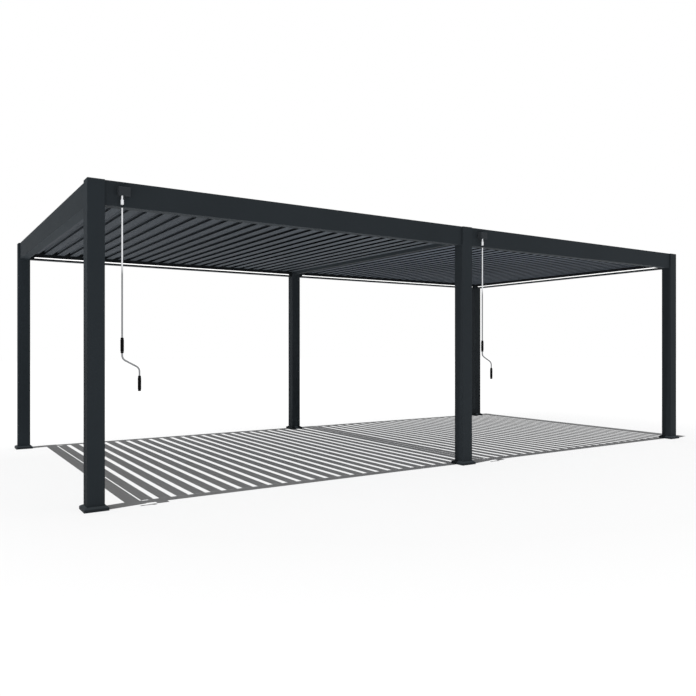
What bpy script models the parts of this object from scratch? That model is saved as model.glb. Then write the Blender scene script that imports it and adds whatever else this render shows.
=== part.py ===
# Louvred pergola with two bays, six square posts and two hanging cranks.
# Units are metres, +Z is up, and the floor is at z = 0.

import math

import bmesh
import bpy
from mathutils import Matrix, Vector

# Overall frame
LENGTH = 7.652
DEPTH = 3.895
HEIGHT = 2.507
POST_SIDE = 0.129
POST_WALL = 0.003
POST_CORNER = 0.003
TOUCH = 0.0003
TURN_STEPS = 16

# Post feet
FOOT_OVERHANG = 0.0265
FOOT_PLATE = 0.008
FOOT_EDGE = 0.022
FOOT_HEIGHT = 0.036
FOOT_LIP = 0.004

# Beams
BEAM_SET_BACK = 0.018
BEAM_STEP = 0.016
BEAM_HEIGHT = 0.192
BEAM_WALL = 0.003
TIE_WIDTH = 0.062
TIE_HEIGHT = 0.1555
CAP_THICKNESS = 0.004
CAP_RIM = 0.012

# Light strips in the inner faces of the beams
LIGHT_RISE = 0.018
LIGHT_HEIGHT = 0.012
LIGHT_DEPTH = 0.008
LIGHT_INSET = 0.050
LIGHT_END_STEPS = 6

# Louvre blades, drawn as they stand part open
BLADES_PER_BAY = 25
BLADE_FOOT = 0.082
BLADE_HIP = 0.003
BLADE_REACH = 0.084
BLADE_RISE = 0.124
BLADE_LEAN = math.radians(18.5)
BLADE_EDGE = 0.004
GROOVE_HEIGHT = 0.0245
GROOVE_DEPTH = 0.035
BLADE_CLEARANCE = 0.005
BAY_START = 0.0125
BAY_END = 0.0271
TIE_MARGIN = 0.024
RAIL_THICKNESS = 0.018
RAIL_HEIGHT = 0.030
RAIL_END = 0.014
PIN_DIAMETER = 0.012
PIN_SIDES = 8
PIN_BITE = 0.010

# Hand cranks; a drop is measured from the top of the roof, a lead from the piece above
CRANK_SIDE = 0.1195
CRANK_STAND_OFF = 0.029
ROD_DIAMETER = 0.013
ROD_SIDES = 12
ROD_SET_IN = 0.004
GRIP_DIAMETER = 0.024
GRIP_LENGTH = 0.119
GRIP_COLLAR = 0.013
GRIP_GROOVE = 0.0015
CRANK_THROW = 0.1315
BEND_LEAD = 0.044
BEND_FALL = 0.071
BEND_RADIUS = 0.047
BEND_STEPS = 8
GEARBOX_DROP = 0.116
GEARBOX_WIDTH = 0.087
GEARBOX_HEIGHT = 0.068
GEARBOX_DEPTH = 0.060
GEARBOX_LEAD = 0.0255
GEARBOX_EDGE = 0.003
BELL_LENGTH = 0.071
BELL_DIAMETER = 0.026
BELL_NECK = 0.015
BELL_NECK_LENGTH = 0.023
BELL_FLARE = 0.012
BELL_MOUTH = 0.005
LINK_RADIUS = 0.0065
LINK_WIRE = 0.004
LINK_STEPS = 16
LINK_SIDES = 8
UPPER_GRIP_DROP = 1.199
LOWER_GRIP_LEAD = 0.059

# Places that follow from the sizes above
BEAM_WIDTH = POST_SIDE - BEAM_SET_BACK - BEAM_STEP
BLADE_BOTTOM = HEIGHT - BLADE_RISE
BAY_CLEAR = LENGTH / 2 - POST_SIDE - TIE_WIDTH / 2
BLADE_PITCH = (BAY_CLEAR - BAY_START - BAY_END - BLADE_REACH) / (BLADES_PER_BAY - 1)
GEARBOX_BOTTOM = HEIGHT - GEARBOX_DROP
UPPER_GRIP_TOP = HEIGHT - UPPER_GRIP_DROP
BEND_TOP = UPPER_GRIP_TOP - GRIP_LENGTH - BEND_LEAD
BEND_BOTTOM = BEND_TOP - BEND_FALL
LOWER_GRIP_TOP = BEND_BOTTOM - LOWER_GRIP_LEAD
CRANK_FRONT = GEARBOX_DEPTH + TOUCH - BEAM_SET_BACK
X_LEFT = -LENGTH / 2
X_RIGHT = LENGTH / 2
Y_FRONT = -(DEPTH + FOOT_OVERHANG - CRANK_FRONT) / 2
Y_BACK = Y_FRONT + DEPTH
BEAM_BOTTOM = HEIGHT - BEAM_HEIGHT
INNER_LINE = BEAM_SET_BACK + BEAM_WIDTH
POST_X = {"left": X_LEFT + POST_SIDE / 2, "middle": 0.0, "right": X_RIGHT - POST_SIDE / 2}
POST_Y = {"front": Y_FRONT + POST_SIDE / 2, "back": Y_BACK - POST_SIDE / 2}

ANTHRACITE = (0.030, 0.034, 0.038)
PLASTIC_BLACK = (0.010, 0.010, 0.011)
SILVER = (0.62, 0.63, 0.65)
LIGHT_WHITE = (1.0, 1.0, 1.0)


def clear_scene():
    for obj in list(bpy.data.objects):
        bpy.data.objects.remove(obj, do_unlink=True)


def new_collection(name):
    made = bpy.data.collections.new(name)
    bpy.context.scene.collection.children.link(made)
    return made


clear_scene()
PARTS = new_collection("louvred_pergola")
HELPERS = new_collection("helpers")


def material(name, colour, roughness, metallic):
    made = bpy.data.materials.get(name)
    if made is None:
        made = bpy.data.materials.new(name)
        made.use_nodes = True
        shader = made.node_tree.nodes["Principled BSDF"]
        shader.inputs["Base Color"].default_value = (*colour, 1.0)
        shader.inputs["Roughness"].default_value = roughness
        shader.inputs["Metallic"].default_value = metallic
    return made


def painted(name):
    return material(name, ANTHRACITE, 0.45, 0.3)


def add_object(name, bm, look, collection=None):
    """Writes a bmesh to a named object in the parts collection."""
    bmesh.ops.recalc_face_normals(bm, faces=bm.faces)
    mesh = bpy.data.meshes.new(name)
    bm.to_mesh(mesh)
    bm.free()
    mesh.materials.append(look)
    made = bpy.data.objects.new(name, mesh)
    (collection or PARTS).objects.link(made)
    return made


def as_helper(obj):
    obj.hide_render = True
    obj.display_type = "WIRE"
    return obj


def outline_verts(bm, outline, place):
    return [bm.verts.new(place(a, b)) for a, b in outline]


def prism(name, outline, place, run, look, collection=None):
    """A filled outline drawn out by the vector run."""
    bm = bmesh.new()
    face = bm.faces.new(outline_verts(bm, outline, place))
    drawn = bmesh.ops.extrude_face_region(bm, geom=[face])
    moved = [part for part in drawn["geom"] if isinstance(part, bmesh.types.BMVert)]
    bmesh.ops.translate(bm, verts=moved, vec=run)
    return add_object(name, bm, look, collection)


def hollow_section(name, outline, place, run, wall, look):
    """A tube with open ends: the outline is its outer skin, and the wall grows inward."""
    bm = bmesh.new()
    ring = outline_verts(bm, outline, place)
    edges = [bm.edges.new((ring[i - 1], ring[i])) for i in range(len(ring))]
    drawn = bmesh.ops.extrude_edge_only(bm, edges=edges)
    moved = [part for part in drawn["geom"] if isinstance(part, bmesh.types.BMVert)]
    bmesh.ops.translate(bm, verts=moved, vec=run)
    made = add_object(name, bm, look)
    skin = made.modifiers.new("wall", "SOLIDIFY")
    skin.thickness = wall
    skin.offset = -1.0
    skin.use_even_offset = True
    return made


def turned(name, profile, centre, steps, look, smooth=True):
    """A profile of (radius, height) points turned about an upright axis."""
    mesh = bpy.data.meshes.new(name)
    points = [(radius, 0.0, height) for radius, height in profile]
    mesh.from_pydata(points, [(i, i + 1) for i in range(len(points) - 1)], [])
    mesh.materials.append(look)
    made = bpy.data.objects.new(name, mesh)
    made.location = centre
    PARTS.objects.link(made)
    screw = made.modifiers.new("turn", "SCREW")
    screw.steps = steps
    screw.render_steps = steps
    screw.use_merge_vertices = True
    screw.merge_threshold = 0.00001
    screw.use_smooth_shade = smooth
    return made


def square_turned(name, profile, centre, look):
    """A stepped square piece: the profile gives half sides, turned in four steps."""
    corners = [(half * math.sqrt(2.0), height) for half, height in profile]
    made = turned(name, corners, centre, 4, look, smooth=False)
    made.rotation_euler = (0.0, 0.0, math.radians(45))
    return made


def bridge(bm, here, there):
    """Side faces between two loops of points."""
    for index in range(len(here)):
        side = bm.faces.new((here[index - 1], here[index], there[index], there[index - 1]))
        side.smooth = True


def round_rod(name, points, diameter, look):
    """A round rod along points that all lie in one plane parallel to the front."""
    bm = bmesh.new()
    depthwise = Vector((0.0, 1.0, 0.0))
    angles = [2 * math.pi * step / ROD_SIDES for step in range(ROD_SIDES)]
    loops = []
    for index, point in enumerate(points):
        into = (point - points[max(index - 1, 0)]).normalized()
        out = (points[min(index + 1, len(points) - 1)] - point).normalized()
        across = (into + out).normalized().cross(depthwise)
        spokes = [across * math.cos(angle) + depthwise * math.sin(angle) for angle in angles]
        loops.append([bm.verts.new(point + spoke * diameter / 2) for spoke in spokes])
    for here, there in zip(loops, loops[1:]):
        bridge(bm, here, there)
    bm.faces.new(loops[0])
    bm.faces.new(loops[-1])
    return add_object(name, bm, look)


def link_ring(name, centre, turn, look):
    """An upright ring of round wire, turned about +Z."""
    bm = bmesh.new()
    spin = Matrix.Rotation(turn, 3, "Z")
    wire = LINK_WIRE / 2
    loops = []
    for step in range(LINK_STEPS):
        around = 2 * math.pi * step / LINK_STEPS
        loop = []
        for side in range(LINK_SIDES):
            outward = 2 * math.pi * side / LINK_SIDES
            reach = LINK_RADIUS + wire * math.cos(outward)
            point = Vector((reach * math.cos(around), wire * math.sin(outward), reach * math.sin(around)))
            loop.append(bm.verts.new(spin @ point + centre))
        loops.append(loop)
    for step in range(LINK_STEPS):
        bridge(bm, loops[step - 1], loops[step])
    return as_helper(add_object(name, bm, look, HELPERS))


def join_to(made, helper):
    """Makes the helper one solid with the piece."""
    join = made.modifiers.new("join", "BOOLEAN")
    join.operation = "UNION"
    join.object = helper
    join.solver = "EXACT"


def rounded_line(corners, radius, steps):
    """Points along straight runs, with an arc of the radius at each inner corner."""
    points = [corners[0]]
    for before, corner, after in zip(corners, corners[1:], corners[2:]):
        into = (corner - before).normalized()
        out = (after - corner).normalized()
        turn = into.angle(out)
        start = corner - into * radius * math.tan(turn / 2)
        centre = corner + (out - into).normalized() * radius / math.cos(turn / 2)
        axis = into.cross(out).normalized()
        for step in range(steps + 1):
            points.append(centre + Matrix.Rotation(turn * step / steps, 3, axis) @ (start - centre))
    points.append(corners[-1])
    return points


def post(name, x, y):
    """A square tube with softened corners, standing in its foot."""
    bottom = FOOT_PLATE + TOUCH
    top = HEIGHT - CAP_THICKNESS - TOUCH
    half = POST_SIDE / 2
    square = [(x - half, y - half), (x + half, y - half), (x + half, y + half), (x - half, y + half)]
    made = hollow_section(
        name, square, lambda a, b: (a, b, bottom), Vector((0, 0, top - bottom)), POST_WALL, painted(name)
    )
    soften = made.modifiers.new("corners", "BEVEL")
    soften.width = POST_CORNER
    soften.segments = 2
    soften.limit_method = "ANGLE"
    made.modifiers.move(1, 0)
    return made


def post_foot(name, x, y):
    """A flanged foot with a sloping collar, and the pocket that the post stands in."""
    flange = POST_SIDE / 2 + FOOT_OVERHANG
    pocket = POST_SIDE / 2 + TOUCH
    profile = [
        (0.0, FOOT_PLATE),
        (pocket, FOOT_PLATE),
        (pocket, FOOT_HEIGHT),
        (pocket + FOOT_LIP, FOOT_HEIGHT),
        (flange - FOOT_LIP, FOOT_EDGE + FOOT_LIP),
        (flange, FOOT_EDGE),
        (flange, 0.0),
        (0.0, 0.0),
    ]
    return square_turned(name, profile, (x, y, 0.0), painted(name))


def post_cap(name, x, y):
    """A flat cap whose rim drops inside the post."""
    half = POST_SIDE / 2
    plug = half - POST_WALL - TOUCH
    under = HEIGHT - CAP_THICKNESS
    profile = [
        (0.0, HEIGHT),
        (half - POST_CORNER / 2, HEIGHT),
        (half, HEIGHT - POST_CORNER / 2),
        (half, under),
        (plug, under),
        (plug, under - CAP_RIM),
        (0.0, under - CAP_RIM),
    ]
    return square_turned(name, profile, (x, y, 0.0), painted(name))


def beam_outline():
    """The section of an edge beam as (inward, up), with the groove for the light strip."""
    low = BEAM_BOTTOM
    return [
        (0.0, low),
        (BEAM_WIDTH, low),
        (BEAM_WIDTH, low + LIGHT_RISE),
        (BEAM_WIDTH - LIGHT_DEPTH, low + LIGHT_RISE),
        (BEAM_WIDTH - LIGHT_DEPTH, low + LIGHT_RISE + LIGHT_HEIGHT),
        (BEAM_WIDTH, low + LIGHT_RISE + LIGHT_HEIGHT),
        (BEAM_WIDTH, HEIGHT),
        (0.0, HEIGHT),
    ]


def edge_beam(name, start, run, inward):
    """An edge beam from start along run; inward points to the middle of the roof."""
    return hollow_section(
        name, beam_outline(), lambda a, b: Vector(start) + Vector(inward) * a + Vector((0, 0, b)),
        Vector(run), BEAM_WALL, painted(name),
    )


def light_strip(name, start, run, inward):
    """A light strip with round ends, lying in the groove of its beam."""
    radius = LIGHT_HEIGHT / 2 - TOUCH
    middle = BEAM_BOTTOM + LIGHT_RISE + LIGHT_HEIGHT / 2
    length = Vector(run).length
    outline = []
    for centre, first in ((length - LIGHT_INSET - radius, -90), (LIGHT_INSET + radius, 90)):
        for step in range(LIGHT_END_STEPS + 1):
            angle = math.radians(first + 180 * step / LIGHT_END_STEPS)
            outline.append((centre + radius * math.cos(angle), middle + radius * math.sin(angle)))
    along = Vector(run).normalized()
    thick = LIGHT_DEPTH - TOUCH
    begin = Vector(start) + Vector(inward) * (BEAM_WIDTH - thick)
    look = material("light_strip", LIGHT_WHITE, 0.3, 0.0)
    return prism(
        name, outline, lambda a, b: begin + along * a + Vector((0, 0, b)), Vector(inward) * thick, look
    )


def frame_beams():
    """Front, back and side beams with their light strips, and the tie beam between the bays."""
    clear = POST_SIDE / 2 + TOUCH
    spans = {
        "left": (POST_X["left"] + clear, POST_X["middle"] - clear),
        "right": (POST_X["middle"] + clear, POST_X["right"] - clear),
    }
    rows = {"front": (Y_FRONT + BEAM_SET_BACK, 1.0), "back": (Y_BACK - BEAM_SET_BACK, -1.0)}
    for row, (y, inward) in rows.items():
        for bay, (x0, x1) in spans.items():
            place = ((x0, y, 0.0), (x1 - x0, 0.0, 0.0), (0.0, inward, 0.0))
            edge_beam(f"{row}_beam_{bay}", *place)
            light_strip(f"{row}_light_strip_{bay}", *place)
    y0 = POST_Y["front"] + clear
    y1 = POST_Y["back"] - clear
    sides = {"left": (X_LEFT + BEAM_SET_BACK, 1.0), "right": (X_RIGHT - BEAM_SET_BACK, -1.0)}
    for side, (x, inward) in sides.items():
        place = ((x, y0, 0.0), (0.0, y1 - y0, 0.0), (inward, 0.0, 0.0))
        edge_beam(f"{side}_beam", *place)
        light_strip(f"{side}_light_strip", *place)
    half = TIE_WIDTH / 2
    low = HEIGHT - TIE_HEIGHT
    box = [(-half, low), (half, low), (half, HEIGHT), (-half, HEIGHT)]
    hollow_section(
        "middle_beam", box, lambda a, b: (a, y0, b), Vector((0, y1 - y0, 0)), BEAM_WALL,
        painted("middle_beam"),
    )


def blade_outline():
    """The section of one blade from its lower left corner, as (right, up), with the groove in its face."""
    waist = BLADE_HIP + GROOVE_HEIGHT
    lean = math.tan(BLADE_LEAN)
    return [
        (0.0, 0.0),
        (BLADE_FOOT, 0.0),
        (BLADE_REACH, BLADE_RISE - BLADE_EDGE),
        (BLADE_REACH, BLADE_RISE),
        ((BLADE_RISE - waist) * lean, BLADE_RISE),
        (0.0, waist),
        (GROOVE_DEPTH, waist),
        (GROOVE_DEPTH, BLADE_HIP),
        (0.0, BLADE_HIP),
    ]


def cylinder_along_y(bm, diameter, y0, y1, x, z):
    turn = Matrix.Rotation(math.radians(90), 4, "X")
    place = Matrix.Translation((x, (y0 + y1) / 2, z)) @ turn
    radius = diameter / 2
    bmesh.ops.create_cone(
        bm, cap_ends=True, segments=PIN_SIDES, radius1=radius, radius2=radius, depth=y1 - y0, matrix=place
    )


def louvre_bank(name, first_x):
    """The blades of one bay, their pivot pins and the two pivot rails that carry them."""
    look = painted(name)
    group = new_collection(name + "_pieces")
    rail_front = Y_FRONT + INNER_LINE + TOUCH
    rail_back = Y_BACK - INNER_LINE - TOUCH
    blade_front = Y_FRONT + POST_SIDE + BLADE_CLEARANCE
    blade_back = Y_BACK - POST_SIDE - BLADE_CLEARANCE
    pivot = BLADE_BOTTOM + BLADE_RISE / 2
    last_x = first_x + BLADE_PITCH * (BLADES_PER_BAY - 1)
    middle = (BLADE_FOOT / 2 + BLADE_REACH) / 2
    for index in range(BLADES_PER_BAY):
        x = first_x + BLADE_PITCH * index
        blade = prism(
            f"{name}_blade_{index}", blade_outline(),
            lambda a, b: (x + a, blade_front, BLADE_BOTTOM + b),
            Vector((0, blade_back - blade_front, 0)), look, group,
        )
        as_helper(blade)
        bm = bmesh.new()
        cylinder_along_y(
            bm, PIN_DIAMETER, rail_front + RAIL_THICKNESS / 2, blade_front + PIN_BITE, x + middle, pivot
        )
        cylinder_along_y(
            bm, PIN_DIAMETER, blade_back - PIN_BITE, rail_back - RAIL_THICKNESS / 2, x + middle, pivot
        )
        as_helper(add_object(f"{name}_pins_{index}", bm, look, group))
    low = pivot - RAIL_HEIGHT / 2
    rail_start = first_x + middle - RAIL_END
    rail_end = last_x + middle + RAIL_END
    side = [
        (rail_start, low),
        (rail_end, low),
        (rail_end, low + RAIL_HEIGHT),
        (rail_start, low + RAIL_HEIGHT),
    ]
    back_rail = prism(
        f"{name}_back_rail", side, lambda a, b: (a, rail_back, b), Vector((0, -RAIL_THICKNESS, 0)),
        look, group,
    )
    as_helper(back_rail)
    bank = prism(name, side, lambda a, b: (a, rail_front, b), Vector((0, RAIL_THICKNESS, 0)), look)
    join = bank.modifiers.new("carry blades", "BOOLEAN")
    join.operation = "UNION"
    join.operand_type = "COLLECTION"
    join.collection = group
    join.solver = "EXACT"
    return bank


def crank_line(x, y, top):
    """The centre line of a crank rod, with its bend above the lower grip."""
    corners = [
        Vector((x, y, top)),
        Vector((x, y, BEND_TOP)),
        Vector((x + CRANK_THROW, y, BEND_BOTTOM)),
        Vector((x + CRANK_THROW, y, LOWER_GRIP_TOP - GRIP_LENGTH + ROD_SET_IN)),
    ]
    return rounded_line(corners, BEND_RADIUS, BEND_STEPS)


def grip(name, x, y, top):
    """A moulded sleeve on the rod, with rounded shoulders and a collar at each end."""
    outer = GRIP_DIAMETER / 2
    inner = ROD_DIAMETER / 2 + TOUCH
    round_off = outer - inner
    waist = outer - GRIP_GROOVE
    low = top - GRIP_LENGTH
    profile = [
        (inner, top),
        (inner + round_off / 2, top),
        (outer, top - round_off),
        (outer, top - GRIP_COLLAR),
        (waist, top - GRIP_COLLAR),
        (waist, top - GRIP_COLLAR - GRIP_GROOVE),
        (outer, top - GRIP_COLLAR - GRIP_GROOVE),
        (outer, low + GRIP_COLLAR + GRIP_GROOVE),
        (waist, low + GRIP_COLLAR + GRIP_GROOVE),
        (waist, low + GRIP_COLLAR),
        (outer, low + GRIP_COLLAR),
        (outer, low + round_off),
        (inner + round_off / 2, low),
        (inner, low),
        (inner, top),
    ]
    return turned(name, profile, (x, y, 0.0), TURN_STEPS, material("grip", PLASTIC_BLACK, 0.5, 0.0))


def gearbox(name, x):
    """The housing on the face of the front beam; the crank hangs under its left part."""
    face = Y_FRONT + BEAM_SET_BACK - TOUCH
    left = x - GEARBOX_LEAD
    base = [
        (left, face - GEARBOX_DEPTH),
        (left + GEARBOX_WIDTH, face - GEARBOX_DEPTH),
        (left + GEARBOX_WIDTH, face),
        (left, face),
    ]
    made = prism(
        name, base, lambda a, b: (a, b, GEARBOX_BOTTOM), Vector((0, 0, GEARBOX_HEIGHT)), painted("gearbox")
    )
    soften = made.modifiers.new("edges", "BEVEL")
    soften.width = GEARBOX_EDGE
    soften.segments = 2
    return made


def crank(side, post_x):
    """A gearbox on the front beam, the bell joint under it, the rod on its link and its two grips."""
    x = post_x + POST_SIDE / 2 + CRANK_SIDE
    y = Y_FRONT - CRANK_STAND_OFF
    steel = material("silver", SILVER, 0.3, 1.0)
    gearbox(f"crank_{side}_gearbox", x)
    top = GEARBOX_BOTTOM - TOUCH
    low = GEARBOX_BOTTOM - BELL_LENGTH
    neck = BELL_NECK / 2
    wide = BELL_DIAMETER / 2
    bell = [
        (0.0, top),
        (neck, top),
        (neck, top - BELL_NECK_LENGTH),
        (wide, top - BELL_NECK_LENGTH - BELL_FLARE),
        (wide, low + BELL_MOUTH),
        (neck, low),
        (0.0, low),
    ]
    joint = turned(f"crank_{side}_joint", bell, (x, y, 0.0), TURN_STEPS, steel)
    upper_link = Vector((x, y, low - LINK_RADIUS))
    lower_link = upper_link - Vector((0.0, 0.0, 2 * LINK_RADIUS - LINK_WIRE - TOUCH))
    joint_ring = link_ring(f"crank_{side}_joint_ring", upper_link, 0.0, steel)
    rod_ring = link_ring(f"crank_{side}_rod_ring", lower_link, math.pi / 2, steel)
    join_to(joint, joint_ring)
    line = crank_line(x, y, lower_link.z - LINK_RADIUS)
    rod = round_rod(f"crank_{side}_rod", line, ROD_DIAMETER, steel)
    join_to(rod, rod_ring)
    grip(f"crank_{side}_upper_grip", x, y, UPPER_GRIP_TOP)
    grip(f"crank_{side}_lower_grip", x + CRANK_THROW, y, LOWER_GRIP_TOP)


def build():
    for row, y in POST_Y.items():
        for place, x in POST_X.items():
            name = f"{row}_{place}"
            post_foot(f"{name}_foot", x, y)
            post(f"{name}_post", x, y)
            post_cap(f"{name}_cap", x, y)
    frame_beams()
    louvre_bank("left_louvres", X_LEFT + POST_SIDE + BAY_START)
    louvre_bank("right_louvres", TIE_WIDTH / 2 + TIE_MARGIN)
    crank("left", POST_X["left"])
    crank("right", POST_X["middle"])


build()
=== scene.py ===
import math

import bmesh
import bpy
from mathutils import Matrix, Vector


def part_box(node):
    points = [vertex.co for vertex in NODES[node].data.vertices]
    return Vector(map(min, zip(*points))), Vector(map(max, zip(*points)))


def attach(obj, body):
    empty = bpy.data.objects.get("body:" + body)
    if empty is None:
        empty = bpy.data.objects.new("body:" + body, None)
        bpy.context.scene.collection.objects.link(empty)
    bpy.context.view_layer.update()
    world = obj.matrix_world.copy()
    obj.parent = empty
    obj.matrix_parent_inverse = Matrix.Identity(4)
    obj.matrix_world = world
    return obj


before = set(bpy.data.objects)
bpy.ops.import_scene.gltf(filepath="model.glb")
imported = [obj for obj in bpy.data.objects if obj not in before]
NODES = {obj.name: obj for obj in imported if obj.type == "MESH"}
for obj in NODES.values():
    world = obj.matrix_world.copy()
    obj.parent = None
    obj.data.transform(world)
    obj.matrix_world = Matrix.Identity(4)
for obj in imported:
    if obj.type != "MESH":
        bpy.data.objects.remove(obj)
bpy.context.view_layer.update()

# Paint and plastic colours, linear
ANTHRACITE = (0.0310, 0.0380, 0.0440)
BLADE_GREY = (0.0735, 0.0840, 0.0960)
# Lighter and bluer copy of the blade grey: painted light on the right bank of blades
RIGHT_BLADE_PAINTED_LIGHT_GREY = (0.0790, 0.0920, 0.1110)
GEARBOX_GREY = (0.0410, 0.0465, 0.0525)
GRIP_BLACK = (0.0020, 0.0020, 0.0022)
# Crank rod silver: brighter above as painted light and reflection, duller below as painted shade
SILVER = (0.83, 0.84, 0.86)
SILVER_IN_PAINTED_SHADE = (0.26, 0.265, 0.275)
LINK_DARK = (0.010, 0.010, 0.011)
LIGHT_WHITE = (1.0, 1.0, 0.995)
FLOOR_NEAR = (0.820, 0.820, 0.820)
FLOOR_FAR = (0.900, 0.900, 0.900)

# Grain of the materials: how fine, how detailed, and stretched along which axes
NOISE_LOW = 0.3
NOISE_HIGH = 0.7
PLAIN_DETAIL = 0.0
GRAIN_DETAIL = 2.0
CLOUD_DETAIL = 3.0
CLOUD_SCALE = 1.3
COAT_GRAIN_SCALE = 620.0
PLASTIC_GRAIN_SCALE = 900.0
LINE_SCALE = 4.0
DIODE_SCALE = 60.0
EVEN = (1.0, 1.0, 1.0)
BLADE_STRETCH = (1.0, 0.25, 1.0)
LINE_STRETCH = (260.0, 260.0, 6.0)
DIODE_STRETCH = (1.0, 1.0, 0.0)

# Darkest and lightest tone of a grain
COAT_TONES = (0.94, 1.06)
METAL_TONES = (0.92, 1.04)
PLASTIC_TONES = (0.85, 1.2)
DIODE_TONES = (0.97, 1.0)

# Bumps: strength, and depth in metres
COAT_BUMP = (0.25, 0.0002)
METAL_BUMP = (0.1, 0.0001)
PLASTIC_BUMP = (0.3, 0.0003)

# Roughness and sheen
COAT_ROUGHNESS = 0.7
SMOOTHER = 0.05
ROUGHER = 0.07
COAT_SHEEN = 0.08
LEFT_BEAM_SHEEN = 0.035
BLADE_ROUGHNESS = 0.65
BLADE_SHEEN = 0.02
GEARBOX_ROUGHNESS = 0.5
SATIN_ROUGHNESS = (0.38, 0.5)
GRIP_SHEEN = 0.06
STRIP_ROUGHNESS = 0.5

# Heights in the frame, metres
BLADE_LOW = 2.383
BLADE_SKIN = BLADE_LOW + 0.0004
GROOVE_LOW = BLADE_LOW + 0.0032
GROOVE_HIGH = BLADE_LOW + 0.0273
LINK_LOW = 2.2975
LINK_HIGH = 2.3195

# Fades along a distance in metres: start, end, value before and value after
# Blades: painted shade in the groove and on the lip, painted light underneath, and the far corner where the
# groove shade and underside light soften
GROOVE_SHADE_FADE = (-2.9, -1.1, 0.15, 0.96)
LIP_SHADE_FADE = (-2.6, -1.2, 0.0, 0.9)
UNDERSIDE_LIGHT_FADE = (-2.5, -0.8, 0.0, 0.56)
FAR_CORNER_SHADE_FADE = (-0.3, 1.6, 0.0, 0.5)
# Painted shade low on the left face of the front left post
LEFT_FACE_SHADE_FADE = (1.1, 1.7, 0.4, 0.0)
# Crank rods: painted light and reflection high up, fading to painted shade low down
ROD_LIGHT_FADE = (1.79, 1.86, 0.0, 1.0)
FLOOR_AROUND_FADE = (4.5, 8.0, 0.0, 1.0)
FLOOR_BEHIND_FADE = (1.0, 3.2, 0.0, 1.0)

# A face looks along an axis where that part of its normal is over this
FACING_SHARE = 0.5
# Share of painted shade on the inner faces of the beams
INNER_FACE_PAINTED_SHADE = 0.7

# Ribbed sleeves on the grips
SLEEVE_INSET = 0.0150
SLEEVE_INNER = 0.0118
SLEEVE_WAIST = 0.0126
SLEEVE_OUTER = 0.0132
SLEEVE_SIDES = 24
RIB_PITCH = 0.0045
RIB_EDGES = (0.2, 0.8)

FLOOR_REACH = 60.0

# Camera, solved from the posts' edges
CAMERA_PLACE = (-4.9425, -7.2391, 1.2288)
CAMERA_TILT = 90.0
CAMERA_TURN = -32.9775
CAMERA_LENS = 35.0
SENSOR_WIDTH = 36.0

# Lamps
SUN_TRAVEL = (0.1312, 0.0222, -1.0)
SUN_STRENGTH = 3.02
SUN_ANGLE = 0.08
WORLD_STRENGTH = 0.245
BACKDROP_STRENGTH = 1.0
WHITE = (1.0, 1.0, 1.0, 1.0)


def toned(colour, tone):
    return tuple(tone * part for part in colour)


def shader_material(name):
    """A material with one principled shader; returns the material, its nodes, links and shader."""
    made = bpy.data.materials.new(name)
    made.use_nodes = True
    tree = made.node_tree
    return made, tree.nodes, tree.links, tree.nodes["Principled BSDF"]


def local_coordinates(nodes, links, stretch=EVEN):
    """The piece's own coordinates in metres, stretched along the axes."""
    place = nodes.new("ShaderNodeTexCoord")
    shift = nodes.new("ShaderNodeMapping")
    shift.inputs["Scale"].default_value = stretch
    links.new(place.outputs["Object"], shift.inputs["Vector"])
    return shift.outputs["Vector"]


def noise(nodes, links, vector, scale, detail=GRAIN_DETAIL):
    made = nodes.new("ShaderNodeTexNoise")
    made.inputs["Scale"].default_value = scale
    made.inputs["Detail"].default_value = detail
    links.new(vector, made.inputs["Vector"])
    return made.outputs["Fac"]


def fade(nodes, links, value, start, end, low, high):
    """A value that goes evenly from low at start to high at end, and stays level beyond."""
    made = nodes.new("ShaderNodeMapRange")
    made.inputs["From Min"].default_value = start
    made.inputs["From Max"].default_value = end
    made.inputs["To Min"].default_value = low
    made.inputs["To Max"].default_value = high
    links.new(value, made.inputs["Value"])
    return made.outputs["Result"]


def spread(nodes, links, value, low, high):
    """A noise value drawn out from low to high."""
    return fade(nodes, links, value, NOISE_LOW, NOISE_HIGH, low, high)


def tinted(nodes, links, factor, colour, dark, light):
    """A colour that goes from dark times itself to light times itself with the factor."""
    ramp = nodes.new("ShaderNodeValToRGB")
    ramp.color_ramp.elements[0].position = NOISE_LOW
    ramp.color_ramp.elements[1].position = NOISE_HIGH
    ramp.color_ramp.elements[0].color = (*[dark * part for part in colour], 1.0)
    ramp.color_ramp.elements[1].color = (*[light * part for part in colour], 1.0)
    links.new(factor, ramp.inputs["Fac"])
    return ramp.outputs["Color"]


def bumped(nodes, links, height, shader, strength, distance):
    bump = nodes.new("ShaderNodeBump")
    bump.inputs["Strength"].default_value = strength
    bump.inputs["Distance"].default_value = distance
    links.new(height, bump.inputs["Height"])
    links.new(bump.outputs["Normal"], shader.inputs["Normal"])


def arithmetic(nodes, links, operation, one, two):
    """One sum, product or comparison of two values, each a socket or a number."""
    made = nodes.new("ShaderNodeMath")
    made.operation = operation
    for index, part in enumerate((one, two)):
        if isinstance(part, float):
            made.inputs[index].default_value = part
        else:
            links.new(part, made.inputs[index])
    return made.outputs[0]


def place_and_facing(nodes, links):
    """The place and the facing of the surface in the frame, each split in x, y and z."""
    seen = nodes.new("ShaderNodeNewGeometry")
    place = nodes.new("ShaderNodeSeparateXYZ")
    facing = nodes.new("ShaderNodeSeparateXYZ")
    links.new(seen.outputs["Position"], place.inputs[0])
    links.new(seen.outputs["Normal"], facing.inputs[0])
    return place.outputs, facing.outputs


def between(nodes, links, value, low, high):
    """One where the value lies between low and high, and nought elsewhere."""
    above = arithmetic(nodes, links, "GREATER_THAN", value, low)
    below = arithmetic(nodes, links, "LESS_THAN", value, high)
    return arithmetic(nodes, links, "MULTIPLY", above, below)


def scaled(nodes, links, colour, factor):
    made = nodes.new("ShaderNodeVectorMath")
    made.operation = "SCALE"
    links.new(colour, made.inputs[0])
    links.new(factor, made.inputs["Scale"])
    return made.outputs["Vector"]


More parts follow.
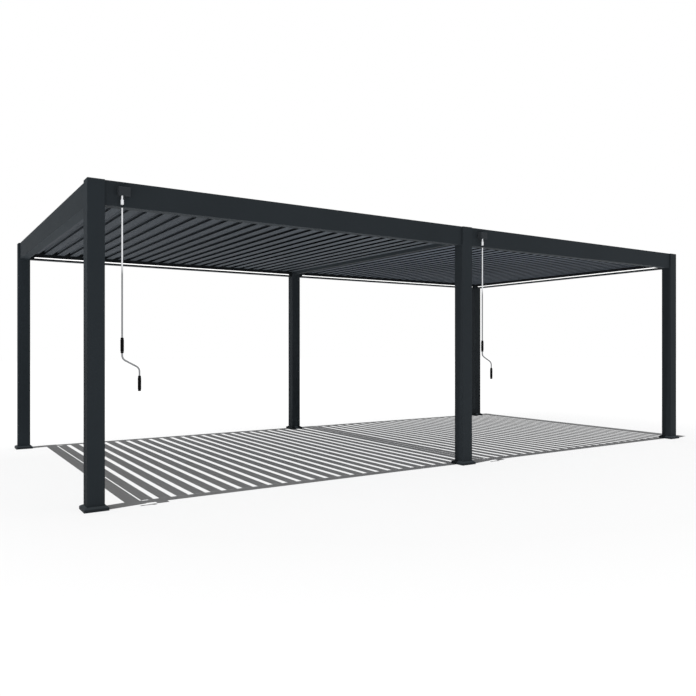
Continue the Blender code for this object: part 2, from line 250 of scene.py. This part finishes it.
def powder_coat(name, colour, roughness=COAT_ROUGHNESS, sheen=COAT_SHEEN, stretch=EVEN, shade=None):
    """Matt powder coat with a fine grain and a very soft change of tone."""
    made, nodes, links, shader = shader_material(name)
    place = local_coordinates(nodes, links, stretch)
    cloud = noise(nodes, links, place, CLOUD_SCALE, CLOUD_DETAIL)
    grain = noise(nodes, links, place, COAT_GRAIN_SCALE)
    tone = tinted(nodes, links, cloud, colour, *COAT_TONES)
    if shade is not None:
        tone = scaled(nodes, links, tone, shade(nodes, links))
    links.new(tone, shader.inputs["Base Color"])
    rough = spread(nodes, links, grain, roughness - SMOOTHER, roughness + ROUGHER)
    links.new(rough, shader.inputs["Roughness"])
    shader.inputs["Specular IOR Level"].default_value = sheen
    bumped(nodes, links, grain, shader, *COAT_BUMP)
    return made


def blade_shade(nodes, links):
    """Painted shade in the groove and lip, deepest by the tie, and painted light underneath; groove and
    underside softer in the far corner.
    """
    place, facing = place_and_facing(nodes, links)
    not_right = arithmetic(nodes, links, "LESS_THAN", facing["X"], FACING_SHARE)
    far = arithmetic(nodes, links, "ADD", place["X"], place["Y"])
    soft = fade(nodes, links, far, *FAR_CORNER_SHADE_FADE)
    sharp = arithmetic(nodes, links, "SUBTRACT", 1.0, soft)

    # Painted shade in the groove, deeper towards the tie
    groove = between(nodes, links, place["Z"], GROOVE_LOW, GROOVE_HIGH)
    inside = arithmetic(nodes, links, "MULTIPLY", groove, not_right)
    depth = arithmetic(nodes, links, "MULTIPLY", sharp, fade(nodes, links, place["X"], *GROOVE_SHADE_FADE))
    groove_painted_shade = arithmetic(nodes, links, "MULTIPLY", inside, depth)

    # Painted shade on the lip below the groove
    edge = between(nodes, links, place["Z"], BLADE_SKIN, GROOVE_LOW)
    lip = arithmetic(nodes, links, "MULTIPLY", edge, not_right)
    lip_painted_shade = arithmetic(nodes, links, "MULTIPLY", lip, fade(nodes, links, place["X"], *LIP_SHADE_FADE))

    # Painted light on the underside, growing towards the tie, less in the far corner
    underside = arithmetic(nodes, links, "LESS_THAN", place["Z"], BLADE_SKIN)
    gain = arithmetic(nodes, links, "SUBTRACT", fade(nodes, links, place["X"], *UNDERSIDE_LIGHT_FADE), soft)
    painted_lift = arithmetic(nodes, links, "MULTIPLY", underside, gain)

    kept = arithmetic(nodes, links, "SUBTRACT", 1.0, groove_painted_shade)
    kept = arithmetic(nodes, links, "SUBTRACT", kept, lip_painted_shade)
    return arithmetic(nodes, links, "ADD", kept, painted_lift)


def beam_shade(axis, sign, underside_painted_light):
    """Painted shade on the face that looks in under the roof, and painted light underneath, by the given
    share.
    """

    def shade(nodes, links):
        facing = place_and_facing(nodes, links)[1]
        toward = arithmetic(nodes, links, "MULTIPLY", facing[axis], sign)
        inward = arithmetic(nodes, links, "GREATER_THAN", toward, FACING_SHARE)
        dark = arithmetic(nodes, links, "MULTIPLY", inward, INNER_FACE_PAINTED_SHADE)
        downward = arithmetic(nodes, links, "LESS_THAN", facing["Z"], -FACING_SHARE)
        painted_lift = arithmetic(nodes, links, "MULTIPLY", downward, underside_painted_light)
        kept = arithmetic(nodes, links, "SUBTRACT", 1.0, dark)
        return arithmetic(nodes, links, "ADD", kept, painted_lift)

    return shade


def left_face_shade(nodes, links):
    """Painted shade: a little darker low down on the face that looks left."""
    place, facing = place_and_facing(nodes, links)
    leftward = arithmetic(nodes, links, "LESS_THAN", facing["X"], -FACING_SHARE)
    depth = fade(nodes, links, place["Z"], *LEFT_FACE_SHADE_FADE)
    return arithmetic(nodes, links, "SUBTRACT", 1.0, arithmetic(nodes, links, "MULTIPLY", leftward, depth))


def blend(nodes, links, factor, one, two):
    """The colour one where the factor is nought, and two where it is one; each a socket or a colour."""
    made = nodes.new("ShaderNodeMixRGB")
    links.new(factor, made.inputs["Fac"])
    for socket, part in (("Color1", one), ("Color2", two)):
        if isinstance(part, tuple):
            made.inputs[socket].default_value = (*part, 1.0)
        else:
            links.new(part, made.inputs[socket])
    return made.outputs["Color"]


def crank_metal(name):
    """Drawn metal with fine lines along its length, with painted light and reflection high up and painted
    shade low down, and dark at the height of the wire links.
    """
    made, nodes, links, shader = shader_material(name)
    drawn = local_coordinates(nodes, links, LINE_STRETCH)
    lines = noise(nodes, links, drawn, LINE_SCALE, CLOUD_DETAIL)
    height = place_and_facing(nodes, links)[0]["Z"]
    rod_painted_light = fade(nodes, links, height, *ROD_LIGHT_FADE)
    rod = blend(nodes, links, rod_painted_light, SILVER_IN_PAINTED_SHADE, SILVER)
    link = between(nodes, links, height, LINK_LOW, LINK_HIGH)
    tone = blend(nodes, links, link, rod, LINK_DARK)
    tone = scaled(nodes, links, tone, spread(nodes, links, lines, *METAL_TONES))
    links.new(tone, shader.inputs["Base Color"])
    links.new(spread(nodes, links, lines, *SATIN_ROUGHNESS), shader.inputs["Roughness"])
    shader.inputs["Metallic"].default_value = 1.0
    bumped(nodes, links, lines, shader, *METAL_BUMP)
    return made


def moulded_plastic(name, colour):
    """Moulded plastic with a fine leathery grain."""
    made, nodes, links, shader = shader_material(name)
    place = local_coordinates(nodes, links)
    grain = noise(nodes, links, place, PLASTIC_GRAIN_SCALE)
    links.new(tinted(nodes, links, grain, colour, *PLASTIC_TONES), shader.inputs["Base Color"])
    links.new(spread(nodes, links, grain, *SATIN_ROUGHNESS), shader.inputs["Roughness"])
    shader.inputs["Specular IOR Level"].default_value = GRIP_SHEEN
    bumped(nodes, links, grain, shader, *PLASTIC_BUMP)
    return made


def glowing_strip(name, colour, strength):
    """A lit diffuser: even, with the faint rows of its diodes behind it."""
    made, nodes, links, shader = shader_material(name)
    place = local_coordinates(nodes, links, DIODE_STRETCH)
    rows = noise(nodes, links, place, DIODE_SCALE, PLAIN_DETAIL)
    tone = tinted(nodes, links, rows, colour, *DIODE_TONES)
    links.new(tone, shader.inputs["Base Color"])
    links.new(tone, shader.inputs["Emission Color"])
    shader.inputs["Emission Strength"].default_value = strength
    shader.inputs["Roughness"].default_value = STRIP_ROUGHNESS
    return made


# Post by post: tone, a lighter or darker copy of the paint that stands in for the light on that post;
# sheen; and painted shade
POST_PAINTS_LIT_AND_SHADED = {
    name: powder_coat(f"{name} post paint with painted light and shade", toned(ANTHRACITE, tone), sheen=sheen, shade=shade)
    for name, tone, sheen, shade in (
        ("front_left", 1.08, 0.03, left_face_shade),
        ("front_middle", 0.98, 0.08, None),
        ("front_right", 0.82, 0.09, None),
        ("back_left", 1.12, 0.0, None),
        ("back_middle", 0.94, 0.08, None),
        ("back_right", 0.68, 0.10, None),
    )
}
# The feet take a darker copy of the frame paint: painted shade
FOOT_PAINT_SHADED = powder_coat("foot paint with painted shade", toned(ANTHRACITE, 0.75))
TIE_PAINT = powder_coat("tie beam paint", ANTHRACITE)

# Beam by beam: tone, a lighter or darker copy of the paint; sheen; axis and sign of the inner face, which
# gets painted shade; and painted light underneath
BEAM_PAINTS_LIT_AND_SHADED = {
    name: powder_coat(
        f"{name} beam paint", toned(ANTHRACITE, tone), sheen=sheen, shade=beam_shade(axis, sign, underside_painted_light)
    )
    for name, tone, sheen, axis, sign, underside_painted_light in (
        ("front", 0.95, COAT_SHEEN, "Y", 1.0, 0.2),
        ("back", 1.0, COAT_SHEEN, "Y", -1.0, 0.1),
        ("left", 1.0, LEFT_BEAM_SHEEN, "X", 1.0, 0.25),
        ("right", 1.0, COAT_SHEEN, "X", -1.0, 0.1),
    )
}
BLADE_PAINTS = {
    name: powder_coat(
        f"{name} blade paint with painted light and shade", colour, BLADE_ROUGHNESS, BLADE_SHEEN, BLADE_STRETCH, blade_shade
    )
    for name, colour in (("left", BLADE_GREY), ("right", RIGHT_BLADE_PAINTED_LIGHT_GREY))
}
GEARBOX_PAINT = powder_coat("gearbox paint", GEARBOX_GREY, GEARBOX_ROUGHNESS)
CRANK_METAL = crank_metal("crank metal")
GRIP_PLASTIC = moulded_plastic("grip plastic", GRIP_BLACK)
LIGHT_DIFFUSERS = {
    name: glowing_strip(f"{name} diffuser", LIGHT_WHITE, strength)
    for name, strength in (
        ("front_light_strip_left", 0.92),
        ("front_light_strip_right", 0.92),
        ("left_light_strip", 0.92),
        ("back_light_strip_left", 1.05),
        ("back_light_strip_right", 0.98),
        ("right_light_strip", 0.84),
    )
}

# The first line that fits the end of a piece's name gives its look
LOOK_BY_ENDING = [
    (("_foot",), FOOT_PAINT_SHADED),
    *(((f"{name}_post", f"{name}_cap"), look) for name, look in POST_PAINTS_LIT_AND_SHADED.items()),
    *(((name,), look) for name, look in LIGHT_DIFFUSERS.items()),
    *(((f"{name}_beam_left", f"{name}_beam_right"), BEAM_PAINTS_LIT_AND_SHADED[name]) for name in ("front", "back")),
    *(((f"{name}_beam",), BEAM_PAINTS_LIT_AND_SHADED[name]) for name in ("left", "right")),
    *(((f"{name}_louvres",), look) for name, look in BLADE_PAINTS.items()),
    (("middle_beam",), TIE_PAINT),
    (("_gearbox",), GEARBOX_PAINT),
    (("_joint", "_rod"), CRANK_METAL),
    (("_grip",), GRIP_PLASTIC),
]

for node_name, node in NODES.items():
    for endings, look in LOOK_BY_ENDING:
        if node_name.endswith(endings):
            for slot in node.material_slots:
                slot.material = look
            break


def grip_sleeve(grip_node, body):
    """A ribbed rubber sleeve over a grip, that turns with its crank."""
    low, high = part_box(grip_node)
    centre = [(low[axis] + high[axis]) / 2 for axis in range(3)]
    bottom = low[2] + SLEEVE_INSET
    top = high[2] - SLEEVE_INSET
    ribs = round((top - bottom) / RIB_PITCH)
    step = (top - bottom) / ribs
    profile = [(SLEEVE_INNER, top), (SLEEVE_INNER, bottom)]
    for rib in range(ribs):
        foot = bottom + step * rib
        profile.append((SLEEVE_WAIST, foot))
        profile += [(SLEEVE_OUTER, foot + step * edge) for edge in RIB_EDGES]
    profile.append((SLEEVE_WAIST, top))
    bm = bmesh.new()
    loops = []
    for radius, height in profile:
        loop = []
        for turn in range(SLEEVE_SIDES):
            angle = 2 * math.pi * turn / SLEEVE_SIDES
            spot = (centre[0] + radius * math.cos(angle), centre[1] + radius * math.sin(angle), height)
            loop.append(bm.verts.new(spot))
        loops.append(loop)
    for index, here in enumerate(loops):
        there = loops[(index + 1) % len(loops)]
        for side in range(SLEEVE_SIDES):
            bm.faces.new((here[side - 1], here[side], there[side], there[side - 1]))
    bmesh.ops.recalc_face_normals(bm, faces=bm.faces)
    mesh = bpy.data.meshes.new(grip_node + "_sleeve")
    bm.to_mesh(mesh)
    bm.free()
    mesh.materials.append(GRIP_PLASTIC)
    sleeve = bpy.data.objects.new(grip_node + "_sleeve", mesh)
    bpy.context.scene.collection.objects.link(sleeve)
    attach(sleeve, body)


for side in ("left", "right"):
    for grip_place in ("upper", "lower"):
        grip_sleeve(f"crank_{side}_{grip_place}_grip", f"crank_{side}")


def make_floor():
    """A wide pale floor that keeps the shadow of the pergola."""
    mesh = bpy.data.meshes.new("floor")
    corners = [(x * FLOOR_REACH, y * FLOOR_REACH, 0.0) for x, y in ((-1, -1), (1, -1), (1, 1), (-1, 1))]
    mesh.from_pydata(corners, [], [(0, 1, 2, 3)])
    made, nodes, links, shader = shader_material("floor white")
    seen = nodes.new("ShaderNodeNewGeometry")
    distance = nodes.new("ShaderNodeVectorMath")
    distance.operation = "LENGTH"
    links.new(seen.outputs["Position"], distance.inputs[0])
    around = fade(nodes, links, distance.outputs["Value"], *FLOOR_AROUND_FADE)
    behind = fade(nodes, links, place_and_facing(nodes, links)[0]["Y"], *FLOOR_BEHIND_FADE)
    away = arithmetic(nodes, links, "MAXIMUM", around, behind)
    links.new(blend(nodes, links, away, FLOOR_NEAR, FLOOR_FAR), shader.inputs["Base Color"])
    shader.inputs["Roughness"].default_value = 1.0
    shader.inputs["Specular IOR Level"].default_value = 0.0
    mesh.materials.append(made)
    floor = bpy.data.objects.new("floor", mesh)
    bpy.context.scene.collection.objects.link(floor)


def make_world():
    """Even light all round, and plain white where the camera or a reflection sees it."""
    world = bpy.data.worlds.new("studio")
    bpy.context.scene.world = world
    world.use_nodes = True
    nodes = world.node_tree.nodes
    links = world.node_tree.links
    nodes.clear()
    path = nodes.new("ShaderNodeLightPath")
    seen = arithmetic(nodes, links, "MAXIMUM", path.outputs["Is Camera Ray"], path.outputs["Is Glossy Ray"])
    shown = arithmetic(nodes, links, "MAXIMUM", seen, path.outputs["Is Transmission Ray"])
    light = nodes.new("ShaderNodeBackground")
    light.inputs["Color"].default_value = WHITE
    light.inputs["Strength"].default_value = WORLD_STRENGTH
    white = nodes.new("ShaderNodeBackground")
    white.inputs["Color"].default_value = WHITE
    white.inputs["Strength"].default_value = BACKDROP_STRENGTH
    mix = nodes.new("ShaderNodeMixShader")
    links.new(shown, mix.inputs["Fac"])
    links.new(light.outputs[0], mix.inputs[1])
    links.new(white.outputs[0], mix.inputs[2])
    out = nodes.new("ShaderNodeOutputWorld")
    links.new(mix.outputs[0], out.inputs["Surface"])


def make_sun():
    """The high lamp that draws the stripes on the floor."""
    data = bpy.data.lights.new("sun", "SUN")
    data.energy = SUN_STRENGTH
    data.angle = math.radians(SUN_ANGLE)
    sun = bpy.data.objects.new("sun", data)
    sun.rotation_mode = "QUATERNION"
    sun.rotation_quaternion = Vector(SUN_TRAVEL).to_track_quat("-Z", "Y")
    bpy.context.scene.collection.objects.link(sun)


def make_camera():
    data = bpy.data.cameras.new("camera")
    data.lens = CAMERA_LENS
    data.sensor_width = SENSOR_WIDTH
    camera = bpy.data.objects.new("camera", data)
    camera.location = CAMERA_PLACE
    camera.rotation_euler = (math.radians(CAMERA_TILT), 0.0, math.radians(CAMERA_TURN))
    bpy.context.scene.collection.objects.link(camera)
    bpy.context.scene.camera = camera


make_floor()
make_world()
make_sun()
make_camera()
bpy.context.scene.view_settings.view_transform = "Standard"
